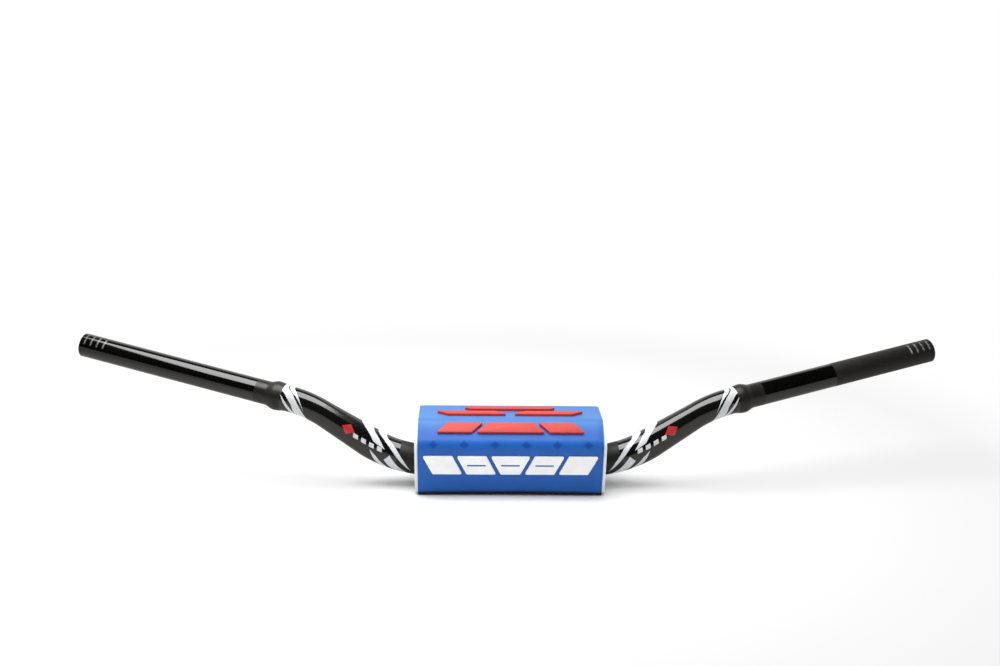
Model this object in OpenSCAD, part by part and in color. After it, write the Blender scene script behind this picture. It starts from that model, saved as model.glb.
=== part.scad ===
// Tapered motocross handlebar with a foam crash pad round its centre.
// X runs along the bar, Z is up and the pad's front face looks along -Y.
// The origin is the middle of the clamping length, on the axis of the tube.

/* [Handlebar tube] */
// Outer diameter of the centre, where the clamps hold the bar
clamp_d = 28.6; // [26:0.1:32]
// Outer diameter of the two grip ends
grip_d = 22.2; // [20:0.1:23]
// Outer diameter through each sweep bend
sweep_d = 24; // [23:0.1:26]
// Outer diameter of the rounded shoulder that stops the grip
shoulder_d = 27; // [26:0.1:30]
// Wall thickness of the tube at its centre
centre_wall = 4.5; // [3:0.1:6]
// Wall thickness of the tube at its grip ends
grip_wall = 4; // [3:0.1:5]
// Width of the chamfer round each open end
lip_chamfer = 0.8; // [0.3:0.1:1.5]

/* [Handlebar bends] */
// Length of the straight centre, from one rise bend to the other
centre_length = 141; // [120:1:160]
// Radius of each rise bend, at the axis of the tube
rise_bend_r = 110; // [90:1:130]
// How much the bends are drawn in below the straight tube, on the radius
bend_draw = 0.03; // [0.02:0.01:0.1]
// Slope of the two arms above the centre
arm_angle = 33.2; // [26:0.1:38]
// Length of each tapered arm between its two bends
arm_length = 48.5; // [40:0.5:60]
// Radius of each sweep bend, at the axis of the tube
sweep_bend_r = 71; // [55:1:90]
// Slope of the grips above the horizontal
grip_rise = 9.4; // [4:0.1:14]
// Angle by which the grips are swept back
grip_sweep = 16; // [8:0.1:22]
// Length over which the shoulder falls to the sweep bend
shoulder_fall = 12.5; // [8:0.5:18]
// Length over which the shoulder falls to the grip
shoulder_rise = 9.5; // [6:0.5:14]
// Length of each grip end outside its shoulder
grip_length = 190; // [150:1:220]

/* [Pad shape] */
// Height of the bar's axis above the flat base of the pad
base_drop = 24; // [21:0.5:30]
// Reach of the foot of the front wall from the bar's axis
front_foot = 28; // [25:0.5:34]
// Reach of the front edge, where the bevel starts
front_reach = 40.5; // [37:0.5:46]
// Height of the front edge above the bar's axis
front_edge_z = 28.5; // [25:0.5:32]
// Distance of the top's front edge ahead of the bar's axis
top_front = 19.5; // [14:0.5:23]
// Height of the top's front edge above the bar's axis
top_front_z = 46.5; // [44:0.5:52]
// Distance of the top's back edge behind the bar's axis
top_back = 38; // [34:0.5:42]
// Height of the top's back edge above the bar's axis
top_back_z = 42.5; // [39:0.5:46]
// Reach of the back edge behind the bar's axis
back_reach = 50; // [46:0.5:56]
// Height of the back edge above the bar's axis
back_edge_z = 22; // [16:0.5:26]
// Reach of the foot of the back wall
back_foot = 41; // [40:0.5:46]
// Radius of the front and back edges
edge_round = 13; // [8:0.5:16]
// Radius of the two edges of the top
top_round = 10; // [6:0.5:13]
// Radius of the folds at the foot of each wall
foot_round = 3.5; // [2.5:0.1:5]

/* [Pad core and cover] */
// Length of the cover along the bar
cover_length = 168; // [150:1:200]
// Thickness of the moulded cover
cover_t = 2; // [1.2:0.1:2.4]
// How far the foam core stands out of each end of the cover
core_show = 2.9; // [1:0.1:6]
// Room round the bar in its channel through the core
channel_gap = 0.3; // [0.1:0.05:1]
// Room between the core and the cover
core_gap = 0.3; // [0.1:0.05:0.6]
// Width of the slit that lets the core open over the bar
slit_w = 2.5; // [1:0.5:6]
// Thickness of the hook strip and of the loop strip
strip_t = 1; // [0.6:0.1:1.5]
// Width of the two strips
strip_w = 19; // [12:0.5:20]
// Distance from each end of the cover to the end of the strips
strip_inset = 5; // [2:1:20]
// Distance from the bar's axis back to the edge of the inner flap
inner_flap_edge = 12; // [11:0.5:13]
// Distance from the foot of the back wall to the edge of the outer flap
outer_flap_inset = 3.5; // [2:0.5:4.5]

/* [Front blocks] */
// Distance from each end of the cover to the row of blocks
row_inset = 9; // [6:0.5:14]
// Height of the blocks, along the face
block_h = 19; // [14:0.5:22]
// Gap between two blocks
block_gap = 4; // [2:0.5:8]
// How far the top of a block leans past its foot
block_lean = 9; // [4:0.5:12]
// How far the blocks stand out of the cover
block_t = 1.6; // [0.8:0.1:3]
// Height of the row's middle above the bar's axis
row_z = 8.5; // [4:0.5:12]
// Width of the groove along each middle block
groove_w = 1.6; // [0.8:0.1:3]
// Depth of the groove
groove_depth = 0.6; // [0.3:0.1:0.7]
// Distance of the groove's ends from the sides of the block
groove_inset = 5; // [3:0.5:7]
// Corner radius of the blocks
block_round = 1.2; // [0.5:0.1:2]

/* [Top and bevel bars] */
// How far the bars stand out of the cover
bar_t = 2.5; // [1:0.1:4]
// Width of the three bars on the bevel
bevel_bar_w = 10.5; // [8:0.5:12]
// Length of the middle bar on the bevel
bevel_mid_length = 52; // [40:1:64]
// Length of the bar on each side of it
bevel_side_length = 32; // [20:1:40]
// Gap between the bars on the bevel
bevel_bar_gap = 4; // [2:0.5:8]
// Width of the front pair of bars on the top
pair_w = 11; // [8:0.5:13]
// Length of each bar of the front pair
pair_length = 54; // [40:1:62]
// Narrowest gap between the two bars of the front pair
pair_gap = 6; // [3:0.5:14]
// Distance of the front pair's middle behind the top's front edge
pair_back = 17; // [14:0.5:18]
// Width of the rear bar on the top
rear_bar_w = 9; // [6:0.5:11]
// Length of the rear bar
rear_bar_length = 84; // [60:1:120]
// Distance of the rear bar's middle behind the top's front edge
rear_bar_back = 35; // [33:0.5:37]
// Corner radius of the bars
bar_round = 0.8; // [0.4:0.1:1.5]

/* [Hidden] */
$fn = 96;
// Overlap of a cut past the face that it opens
past = 1;
// Overlap of each straight stretch of the tube with the bend beside it
lap = 0.5;
// Steps in each half of the shoulder's profile
shoulder_steps = 8;
// Steps round each corner of an outline
corner_steps = 6;
// Half the side of the squares that cut the pad's section in two
cut_half = 100;
// Blocks in the row on the front face
block_count = 5;
// Share of the radius of the top's front edge that keeps the bars off its round
round_share = 0.45;

clamp_r = clamp_d / 2;
grip_r = grip_d / 2;
sweep_r = sweep_d / 2;
shoulder_r = shoulder_d / 2;
bore_r = grip_r - grip_wall;
centre_bore_r = clamp_r - centre_wall;
shoulder_length = shoulder_fall + shoulder_rise;

// Directions of the right arm and the right grip
arm_dir = [cos(arm_angle), 0, sin(arm_angle)];
grip_dir = [cos(grip_rise) * cos(grip_sweep), cos(grip_rise) * sin(grip_sweep), sin(grip_rise)];
// The sweep bend turns from one to the other, towards sweep_in
sweep_angle = acos(arm_dir * grip_dir);
sweep_in = unit(grip_dir - (arm_dir * grip_dir) * arm_dir);
sweep_axis = cross(-sweep_in, arm_dir);

// Points where each stretch of the right half starts
rise_start = [centre_length / 2, 0, 0];
arm_start = rise_start + rise_bend_r * [sin(arm_angle), 0, 1 - cos(arm_angle)];
sweep_start = arm_start + arm_length * arm_dir;
sweep_centre = sweep_start + sweep_bend_r * sweep_in;
shoulder_start = sweep_centre
    + sweep_bend_r * (sin(sweep_angle) * arm_dir - cos(sweep_angle) * sweep_in);

// The inner flap lies above the outer flap, the hook strip and the loop strip
flap_step = cover_t + 2 * strip_t;
core_half = cover_length / 2 + core_show;
outer_flap_edge = back_foot - outer_flap_inset;
strip_y = (inner_flap_edge + outer_flap_edge) / 2;

// Corners of the section that carry the blocks and the bars
front_foot_point = [-front_foot, -base_drop];
front_edge_point = [-front_reach, front_edge_z];
top_front_point = [-top_front, top_front_z];
top_back_point = [top_back, top_back_z];
front_height = norm(front_edge_point - front_foot_point);
bevel_height = norm(top_front_point - front_edge_point);

// The row of blocks ends at the same distance from both ends of the cover
row_length = cover_length - 2 * row_inset;
row_up = front_height * (row_z + base_drop) / (front_edge_z + base_drop);
block_pitch = (row_length + block_gap) / block_count;
block_length = block_pitch - block_gap;

// The bars on the bevel lie just below the rounded front edge of the top
bevel_bar_up = bevel_height - bevel_bar_w / 2 - round_share * top_round;
bevel_side_x = (bevel_mid_length + bevel_side_length) / 2 + bevel_bar_gap;
// The front pair leans over its gap, which is narrowest at its front edge
pair_x = (pair_gap + pair_w + pair_length) / 2;

function unit(v) = v / norm(v);
function mix(a, b, t) = a + (b - a) * t;

// Places its children with their axes along the three given directions
module along(origin, x, y, z) {
    multmatrix([
        [x[0], y[0], z[0], origin[0]],
        [x[1], y[1], z[1], origin[1]],
        [x[2], y[2], z[2], origin[2]],
        [0, 0, 0, 1]
    ]) children();
}

// Stands its children's Z axis on the line of the right grip
module on_grip_line(distance) {
    along(shoulder_start + distance * grip_dir, sweep_axis, cross(grip_dir, sweep_axis), grip_dir)
        children();
}

// Radius of the shoulder, from the sweep bend at t = 0 to the grip at t = 2
function shoulder_radius(t) = t < 1
    ? mix(sweep_r, shoulder_r, (1 - cos(180 * t)) / 2)
    : mix(shoulder_r, grip_r, (1 - cos(180 * (t - 1))) / 2);
function shoulder_height(t) = t < 1 ? shoulder_fall * t : shoulder_fall + shoulder_rise * (t - 1);

// Bends and arm of the right half, as a solid rod: the given radii are those of
// its straight stretches at the centre and at the sweep bend
module bent_rod(centre_radius, sweep_radius) {
    along(rise_start + [0, 0, rise_bend_r], [0, 0, -1], [1, 0, 0], [0, -1, 0])
        rotate_extrude(angle = arm_angle)
            translate([rise_bend_r, 0]) circle(r = centre_radius - bend_draw);
    along(arm_start - lap * arm_dir, [0, -1, 0], cross(arm_dir, [0, -1, 0]), arm_dir)
        cylinder(h = arm_length + 2 * lap, r1 = centre_radius, r2 = sweep_radius);
    along(sweep_centre, -sweep_in, arm_dir, sweep_axis)
        rotate_extrude(angle = sweep_angle)
            translate([sweep_bend_r, 0]) circle(r = sweep_radius - bend_draw);
}

module centre_rod(radius) {
    rotate([0, 90, 0]) cylinder(h = centre_length + 2 * lap, r = radius, center = true);
}

module both_sides() {
    children();
    mirror([1, 0, 0]) children();
}

// Shoulder, grip end and chamfered lip
module grip_outside() {
    on_grip_line(0) rotate_extrude() polygon(concat(
        [[0, -lap], [sweep_r, -lap]],
        [for (i = [0 : 2 * shoulder_steps])
            [shoulder_radius(i / shoulder_steps), shoulder_height(i / shoulder_steps)]],
        [[grip_r, shoulder_length + grip_length - lip_chamfer],
            [grip_r - lip_chamfer, shoulder_length + grip_length],
            [0, shoulder_length + grip_length]]
    ));
}

module grip_inside() {
    on_grip_line(-lap) cylinder(h = shoulder_length + grip_length + lap + past, r = bore_r);
    on_grip_line(shoulder_length + grip_length - lip_chamfer)
        cylinder(h = lip_chamfer + past, r1 = bore_r, r2 = bore_r + lip_chamfer + past);
}

module handlebar_tube() {
    color("#18191b") difference() {
        union() {
            centre_rod(clamp_r);
            both_sides() {
                bent_rod(clamp_r, sweep_r);
                grip_outside();
            }
        }
        centre_rod(centre_bore_r);
        both_sides() {
            bent_rod(centre_bore_r, bore_r);
            grip_inside();
        }
    }
}

// Unit vector square to the edge from p to q, pointing into an outline drawn anticlockwise
function inward(p, q) = [p[1] - q[1], q[0] - p[0]] / norm(q - p);
function before(pts, i) = pts[(i + len(pts) - 1) % len(pts)];
function after(pts, i) = pts[(i + 1) % len(pts)];
// Centre of a corner's arc of radius r
function arc_centre(pts, i, r) =
    let (a = inward(before(pts, i), pts[i]), b = inward(pts[i], after(pts, i)))
    pts[i] + r * (a + b) / (1 + a * b);

// Convex outline with a rounded corner at each point, drawn the given distance inside itself
module rounded(pts, radii, inset = 0) {
    polygon([for (i = [0 : len(pts) - 1])
        let (
            a = inward(before(pts, i), pts[i]),
            b = inward(pts[i], after(pts, i)),
            turn = acos(a * b),
            start = atan2(-a[1], -a[0])
        )
        for (k = [0 : corner_steps])
            let (angle = start + turn * k / corner_steps)
            arc_centre(pts, i, radii[i]) + (radii[i] - inset) * [cos(angle), sin(angle)]]);
}

// Where the front and back walls stand at the height z
function front_wall_y(z) =
    -mix(front_foot, front_reach, (z + base_drop) / (front_edge_z + base_drop));
function back_wall_y(z) = mix(back_foot, back_reach, (z + base_drop) / (back_edge_z + base_drop));

// Section of the pad, with its base at the height base_z
module pad_outline(base_z, inset) {
    rounded([
        [front_wall_y(base_z), base_z], [back_wall_y(base_z), base_z],
        [back_reach, back_edge_z], [top_back, top_back_z],
        [-top_front, top_front_z], [-front_reach, front_edge_z]
    ], [foot_round, foot_round, edge_round, top_round, top_round, edge_round], inset);
}

// Everything behind or ahead of a line across the section
module behind(y) { translate([y, -cut_half]) square(2 * cut_half); }
module ahead(y) { translate([y - 2 * cut_half, -cut_half]) square(2 * cut_half); }

// Pulls a section out along the bar, evenly to both sides
module along_bar(length) {
    rotate([90, 0, 90]) linear_extrude(height = length, center = true) children();
}

module cover_wrap(base_z) {
    difference() {
        pad_outline(base_z, 0);
        pad_outline(base_z, cover_t);
    }
}

// One sheet: down the front, under the base as the outer flap, and over the top
// and down the back to the inner flap
module pad_cover() {
    color("#2f67bd") along_bar(cover_length) {
        intersection() {
            cover_wrap(-base_drop);
            ahead(inner_flap_edge);
        }
        translate([inner_flap_edge, -base_drop])
            square([outer_flap_edge - inner_flap_edge, cover_t]);
        intersection() {
            cover_wrap(flap_step - base_drop);
            behind(inner_flap_edge);
        }
    }
}

module pad_core() {
    color("#f3f4f2") difference() {
        along_bar(2 * core_half) {
            pad_outline(flap_step - base_drop, cover_t + core_gap);
            intersection() {
                pad_outline(-base_drop, cover_t + core_gap);
                ahead(inner_flap_edge - core_gap);
            }
        }
        centre_rod(clamp_r + channel_gap);
        both_sides() bent_rod(clamp_r + channel_gap, sweep_r);
        translate([0, 0, -base_drop / 2 - past])
            cube([2 * core_half + 2 * past, slit_w, base_drop + 2 * past], center = true);
    }
}

module strip(level) {
    translate([0, strip_y, level + strip_t / 2 - base_drop])
        cube([cover_length - 2 * strip_inset, strip_w, strip_t], center = true);
}

module hook_strip() { color("#26282b") strip(cover_t); }
module loop_strip() { color("#3b3e43") strip(cover_t + strip_t); }

// Lays its children on a flat of the pad that runs from p to q in the section:
// their X stays along the bar, their Y runs from p to q and their Z points out
module on_flat(p, q, distance) {
    start = p + distance * unit(q - p);
    translate([0, start[0], start[1]]) rotate([atan2(q[1] - p[1], q[0] - p[0]), 0, 0]) children();
}

// Bar or block of the given size, centred. Its left and right ends lean out by the given amounts
module leaning(length, width, left_lean, right_lean, round) {
    rounded([
        [-length / 2 + left_lean / 2, -width / 2], [length / 2 - right_lean / 2, -width / 2],
        [length / 2 + right_lean / 2, width / 2], [-length / 2 - left_lean / 2, width / 2]
    ], [round, round, round, round]);
}

// Long bar whose two ends come to a blunt point
module pointed(length, width, round) {
    rounded([
        [-length / 2, 0], [-length / 2 + width / 2, -width / 2],
        [length / 2 - width / 2, -width / 2], [length / 2, 0],
        [length / 2 - width / 2, width / 2], [-length / 2 + width / 2, width / 2]
    ], [round, round, round, round, round, round]);
}

// One of the five blocks on the front face, counted from -2 to 2 along the bar
module front_block(place) {
    lean = place == 0 ? [block_lean, block_lean] : sign(place) * [-block_lean, block_lean];
    color("#f1f3f5") on_flat(front_foot_point, front_edge_point, row_up)
        translate([place * block_pitch, 0]) difference() {
            linear_extrude(height = block_t)
                leaning(block_length, block_h, lean[0], lean[1], block_round);
            if (abs(place) < 2)
                translate([0, 0, block_t])
                    cube([block_length - 2 * groove_inset, groove_w, 2 * groove_depth], center = true);
        }
}

// One of the three bars on the bevel, counted from -1 to 1
module bevel_bar(place) {
    length = place == 0 ? bevel_mid_length : bevel_side_length;
    lean = place == 0 ? [-bevel_bar_w, -bevel_bar_w] : place * [bevel_bar_w, -bevel_bar_w];
    color("#e0433c") on_flat(front_edge_point, top_front_point, bevel_bar_up)
        translate([place * bevel_side_x, 0])
            linear_extrude(height = bar_t)
                leaning(length, bevel_bar_w, lean[0], lean[1], bar_round);
}

module top_pair_bar(side) {
    color("#e0433c") on_flat(top_front_point, top_back_point, pair_back)
        translate([side * pair_x, 0])
            linear_extrude(height = bar_t)
                leaning(pair_length, pair_w, -side * pair_w, side * pair_w, bar_round);
}

module top_bar_rear() {
    color("#e0433c") on_flat(top_front_point, top_back_point, rear_bar_back)
        linear_extrude(height = bar_t) pointed(rear_bar_length, rear_bar_w, bar_round);
}

handlebar_tube();
pad_core();
pad_cover();
hook_strip();
loop_strip();
front_block(-2);  // front_block_left_end
front_block(-1);  // front_block_left
front_block(0);  // front_block_middle
front_block(1);  // front_block_right
front_block(2);  // front_block_right_end
bevel_bar(-1);  // bevel_bar_left
bevel_bar(0);  // bevel_bar_middle
bevel_bar(1);  // bevel_bar_right
top_pair_bar(-1);  // top_bar_left
top_pair_bar(1);  // top_bar_right
top_bar_rear();
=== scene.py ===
import math

import bmesh
import bpy
from bpy.props import FloatProperty, FloatVectorProperty, IntProperty, PointerProperty
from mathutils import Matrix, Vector


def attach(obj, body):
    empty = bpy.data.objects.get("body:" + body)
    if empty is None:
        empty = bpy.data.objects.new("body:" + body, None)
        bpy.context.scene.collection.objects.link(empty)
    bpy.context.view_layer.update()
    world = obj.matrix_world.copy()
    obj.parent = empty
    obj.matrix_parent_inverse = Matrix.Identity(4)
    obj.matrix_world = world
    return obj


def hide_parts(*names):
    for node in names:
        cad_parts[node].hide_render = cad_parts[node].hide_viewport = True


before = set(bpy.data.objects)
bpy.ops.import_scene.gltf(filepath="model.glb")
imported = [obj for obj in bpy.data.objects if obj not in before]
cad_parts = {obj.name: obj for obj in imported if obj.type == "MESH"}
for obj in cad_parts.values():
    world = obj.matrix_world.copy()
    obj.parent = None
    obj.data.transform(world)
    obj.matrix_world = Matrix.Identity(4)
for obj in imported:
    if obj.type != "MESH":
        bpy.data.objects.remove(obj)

bl_info = {
    "name": "Motocross handlebar",
    "version": (1, 0, 0),
    "blender": (4, 5, 0),
    "location": "3D View > Sidebar > Handlebar",
    "description": "Builds a tapered handlebar with its foam crash pad in a plain studio",
    "category": "Object",
}

BLOCKS = ["front_block_left_end", "front_block_left", "front_block_middle",
          "front_block_right", "front_block_right_end"]
BARS = ["bevel_bar_left", "bevel_bar_middle", "bevel_bar_right",
        "top_bar_left", "top_bar_right", "top_bar_rear"]
# Distances from the bar's middle, along its axis, at which its finish changes: the blasted clamping
# length ends, each blasted collar starts, its rubbed part starts, it ends, and the right grip's
# knurled length starts
CLAMP_END, COLLAR_START, RUBBED_START, COLLAR_END, KNURL_START = 0.1045, 0.2228, 0.2365, 0.2494, 0.3235
# The four guide lines near each end start and end at these distances, one in each pitch
GUIDES_START, GUIDES_END, GUIDE_PITCH = 0.4018, 0.4274, 0.0064
# Middle of the badge's lozenge, and half its length, in metres along the bar and in turns round it
LOZENGE_AT, LOZENGE_HALF = (0.1575, 0.200), (0.0068, 0.062)
# The printed lozenges on the cover: their pitch, and their height above the bar's axis
PRINT_PITCH, PRINT_HEIGHT = 0.028, 0.0285


def linear(hex_colour):
    """An sRGB hex colour as linear red, green and blue."""
    parts = [int(hex_colour[i:i + 2], 16) / 255 for i in (1, 3, 5)]
    return [p / 12.92 if p <= 0.04045 else ((p + 0.055) / 1.055) ** 2.4 for p in parts]


def rgba(colour):
    """A colour property, or an sRGB hex colour, as the four numbers of a socket."""
    return (*(linear(colour) if isinstance(colour, str) else colour), 1.0)


def length(label, text, metres):
    """A length that the user can change."""
    return FloatProperty(name=label, description=text, default=metres, unit="LENGTH")


def angle(label, text, degrees):
    """An angle that the user can change."""
    return FloatProperty(name=label, description=text, default=math.radians(degrees), subtype="ANGLE")


def swatch(label, text, hex_colour):
    """A colour that the user can change."""
    return FloatVectorProperty(name=label, description=text, subtype="COLOR", default=linear(hex_colour))


class TubeSizes(bpy.types.PropertyGroup):
    clamp_d: length("Clamp diameter", "Outer diameter of the centre", 0.0286)
    sweep_d: length("Sweep diameter", "Outer diameter through each sweep bend", 0.024)
    shoulder_d: length("Shoulder diameter", "Outer diameter of the shoulder that stops the grip", 0.027)
    grip_d: length("Grip diameter", "Outer diameter of the grip ends", 0.0222)
    centre_wall: length("Centre wall", "Wall thickness at the centre", 0.0045)
    grip_wall: length("Grip wall", "Wall thickness at the grip ends", 0.004)
    lip: length("Lip chamfer", "Chamfer round each open end", 0.0008)
    centre_length: length("Centre length", "Length of the straight centre", 0.141)
    rise_bend_r: length("Rise bend radius", "Radius of each rise bend", 0.110)
    arm_angle: angle("Arm slope", "Slope of the arms above the centre", 33.2)
    arm_length: length("Arm length", "Length of each tapered arm", 0.0485)
    sweep_bend_r: length("Sweep bend radius", "Radius of each sweep bend", 0.071)
    grip_rise: angle("Grip rise", "Slope of the grips above the horizontal", 9.4)
    grip_sweep: angle("Grip sweep", "Angle by which the grips are swept back", 16)
    shoulder_fall: length("Shoulder, inner", "Length of the shoulder on the side of the bend", 0.0125)
    shoulder_rise: length("Shoulder, outer", "Length of the shoulder on the side of the grip", 0.0095)
    grip_length: length("Grip length", "Length of each grip end", 0.190)
    segments: IntProperty(name="Segments", description="Faces round the tube", default=96, min=24, max=160)


class PadSizes(bpy.types.PropertyGroup):
    length: length("Cover length", "Length of the cover along the bar", 0.168)
    thickness: length("Cover thickness", "Thickness of the moulded cover", 0.002)
    base: length("Base drop", "Height of the bar's axis above the base", 0.024)
    front_foot: length("Front foot", "Reach of the foot of the front wall", 0.028)
    front_reach: length("Front reach", "Reach of the front edge, under the bevel", 0.0405)
    front_edge: length("Front edge height", "Height of the front edge above the bar's axis", 0.0285)
    top_front: length("Top, front", "Reach of the top's front edge", 0.0195)
    top_front_up: length("Top height, front", "Height of the top's front edge", 0.0465)
    top_back: length("Top, back", "Reach of the top's back edge", 0.038)
    top_back_up: length("Top height, back", "Height of the top's back edge", 0.0425)
    back_reach: length("Back reach", "Reach of the back edge", 0.050)
    back_edge: length("Back edge height", "Height of the back edge", 0.022)
    back_foot: length("Back foot", "Reach of the foot of the back wall", 0.041)
    edge_round: length("Edge radius", "Radius of the front and back edges", 0.011)
    top_round: length("Top radius", "Radius of the two edges of the top", 0.014)
    foot_round: length("Fold radius", "Radius of the folds at the foot", 0.0027)
    inner_flap: length("Inner flap", "Reach of the inner flap's edge behind the bar's axis", 0.012)
    outer_flap: length("Outer flap", "Reach of the outer flap's edge behind the bar's axis", 0.0375)
    flap_step: length("Flap step", "Height of the inner flap above the outer flap", 0.004)
    rim: length("Rim radius", "Rounding of the cover's rims", 0.0007)
    lift: length("Front lift", "How far the front fold lifts off the floor at its middle", 0.0010)


class Colours(bpy.types.PropertyGroup):
    # On the arms this black is drawn lighter than the grips' black, as a painted reflection of the dim room
    tube: swatch("Tube", "Black anodised alloy", "#0d0d0c")
    stripe: swatch("Stripes", "White film on the arms", "#cbcdd0")
    mark: swatch("Red mark", "Red film on the arms", "#b3242a")
    cover: swatch("Cover", "Blue moulded skin", "#0c59af")
    # Painted light: a paler blue for the cover's upper faces, drawn as the light from above makes them look
    cover_painted_light: swatch("Cover, worn", "Blue skin where hands and light have paled it", "#4076b6")
    relief_white: swatch("White blocks", "White raised mouldings", "#f6f6f6")
    relief_red: swatch("Red bars", "Red raised mouldings", "#bf332a")
    foam: swatch("Foam", "White closed-cell foam", "#f2f4f3")
    # Painted shade: the near-black drawn along the cover's foot, where the fold lies in shade
    painted_foot_shade: swatch("Backing", "Black backing of the cover's underside", "#0d0f16")
    tape: swatch("Tape", "Black hook-and-loop tape", "#1d1e21")


def add(tree, kind, settings=None, inputs=None, output=0):
    """Adds a shader node, sets it up, links or sets its inputs and gives one of its outputs."""
    node = tree.nodes.new("ShaderNode" + kind)
    for name, value in (settings or {}).items():
        setattr(node, name, value)
    for name, value in (inputs or {}).items():
        if isinstance(value, bpy.types.NodeSocket):
            tree.links.new(value, node.inputs[name])
        else:
            node.inputs[name].default_value = value
    return node.outputs[output] if len(node.outputs) else None


def blank_material(name):
    """A new material with an empty node tree."""
    material = bpy.data.materials.new(name)
    material.use_nodes = True
    material.node_tree.nodes.clear()
    return material, material.node_tree


def finish_material(tree, inputs):
    """Puts a Principled shader with these inputs on the material's surface."""
    shader = add(tree, "BsdfPrincipled", None, inputs)
    add(tree, "OutputMaterial", None, {"Surface": shader})


def all_of(tree, first, *masks):
    """1 where all of these masks are 1."""
    for mask in masks:
        first = add(tree, "Math", {"operation": "MULTIPLY"}, {0: first, 1: mask})
    return first


def between(tree, value, low, high, soft):
    """1 where the value lies from low to high, falling to 0 over the soft width outside."""
    rise = add(tree, "MapRange", {"interpolation_type": "SMOOTHSTEP"},
               {"Value": value, "From Min": low - soft, "From Max": low})
    fall = add(tree, "MapRange", {"interpolation_type": "SMOOTHSTEP"},
               {"Value": value, "From Min": high, "From Max": high + soft, "To Min": 1.0, "To Max": 0.0})
    return all_of(tree, rise, fall)


def share_off(tree, value, middle, reach):
    """How far the value lies from the middle, as a share of the reach."""
    off = add(tree, "Math", {"operation": "SUBTRACT"}, {0: value, 1: middle})
    off = add(tree, "Math", {"operation": "ABSOLUTE"}, {0: off})
    return add(tree, "Math", {"operation": "DIVIDE"}, {0: off, 1: reach})


def select_only(*pieces):
    """Selects these objects, and makes the first the active one."""
    if bpy.context.mode != "OBJECT":
        bpy.ops.object.mode_set(mode="OBJECT")
    bpy.ops.object.select_all(action="DESELECT")
    for piece in pieces:
        piece.select_set(True)
    bpy.context.view_layer.objects.active = pieces[0] if pieces else None


def apply_modifier(piece, kind, **settings):
    """Adds a modifier with these settings and applies it."""
    select_only(piece)
    modifier = piece.modifiers.new(kind.lower(), kind)
    for name, value in settings.items():
        setattr(modifier, name, value)
    bpy.ops.object.modifier_apply(modifier=modifier.name)


def hand_in(piece, name, slot, materials, *nodes):
    """Names a finished piece, gives it its finish and puts it in place of its CAD nodes."""
    piece.name = piece.data.name = name
    finishes = [min(face.material_index, len(materials) - 1) for face in piece.data.polygons]
    piece.data.materials.clear()
    for material in materials:
        piece.data.materials.append(material)
    piece.data.polygons.foreach_set("material_index", finishes)
    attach(piece, "root")
    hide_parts(*nodes)
    return piece


def merged_copy(node):
    """A copy of a CAD node's mesh, merged to one skin of flat faces."""
    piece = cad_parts[node].copy()
    piece.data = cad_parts[node].data.copy()
    piece.parent = None
    for key in list(piece.keys()):
        del piece[key]
    bpy.context.scene.collection.objects.link(piece)
    select_only(piece)
    bpy.ops.object.mode_set(mode="EDIT")
    bpy.ops.mesh.select_all(action="SELECT")
    bpy.ops.mesh.remove_doubles(threshold=0.000005)
    bpy.ops.mesh.dissolve_limited(angle_limit=math.radians(0.5), delimit=set())
    bpy.ops.mesh.customdata_custom_splitnormals_clear()
    bpy.ops.mesh.normals_make_consistent(inside=False)
    bpy.ops.object.mode_set(mode="OBJECT")
    return piece


# Tube

def tube_profile(size):
    """Stations of the right half of the straight tube, as distance from the middle and radius:
    those of the outside, those of the bore, and where each stretch starts."""
    rise = size.rise_bend_r * size.arm_angle
    arm = Vector((math.cos(size.arm_angle), 0, math.sin(size.arm_angle)))
    sweep_angle = arm.angle(grip_direction(size))
    sweep = size.sweep_bend_r * sweep_angle
    clamp, neck, grip = size.clamp_d / 2, size.sweep_d / 2, size.grip_d / 2
    bore, wide_bore = grip - size.grip_wall, clamp - size.centre_wall
    at = [size.centre_length / 2]
    for step in (rise, size.arm_length, sweep, size.shoulder_fall, size.shoulder_rise, size.grip_length):
        at.append(at[-1] + step)
    outside = [(at[0] + rise * i / 24, clamp) for i in range(25)]
    outside += [(at[2] + sweep * i / 20, neck) for i in range(21)]
    crest = size.shoulder_d / 2
    for i in range(1, 11):
        share = (1 - math.cos(math.pi * i / 10)) / 2
        outside.append((at[3] + size.shoulder_fall * i / 10, neck + (crest - neck) * share))
    for i in range(1, 9):
        share = (1 - math.cos(math.pi * i / 8)) / 2
        outside.append((at[4] + size.shoulder_rise * i / 8, crest + (grip - crest) * share))
    outside += [(at[5] + size.grip_length * i / 4, grip) for i in range(1, 4)]
    outside += [(at[6] - size.lip, grip), (at[6], grip - size.lip)]
    for edge in (CLAMP_END, COLLAR_START, COLLAR_END, KNURL_START):
        after = next(i for i, (x, _) in enumerate(outside) if x > edge)
        (x0, r0), (x1, r1) = outside[after - 1:after + 1]
        outside.insert(after, (edge, r0 + (r1 - r0) * (edge - x0) / (x1 - x0)))
    inside = [(at[0] + rise * i / 12, wide_bore) for i in range(13)]
    inside += [(at[2] + sweep * i / 10, bore) for i in range(11)]
    inside += [(at[6] - size.lip, bore), (at[6], bore + size.lip)]
    return outside, inside, at


def grip_direction(size):
    """Direction of the right grip, outwards."""
    flat = math.cos(size.grip_rise)
    return Vector((flat * math.cos(size.grip_sweep), flat * math.sin(size.grip_sweep),
                   math.sin(size.grip_rise)))


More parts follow.
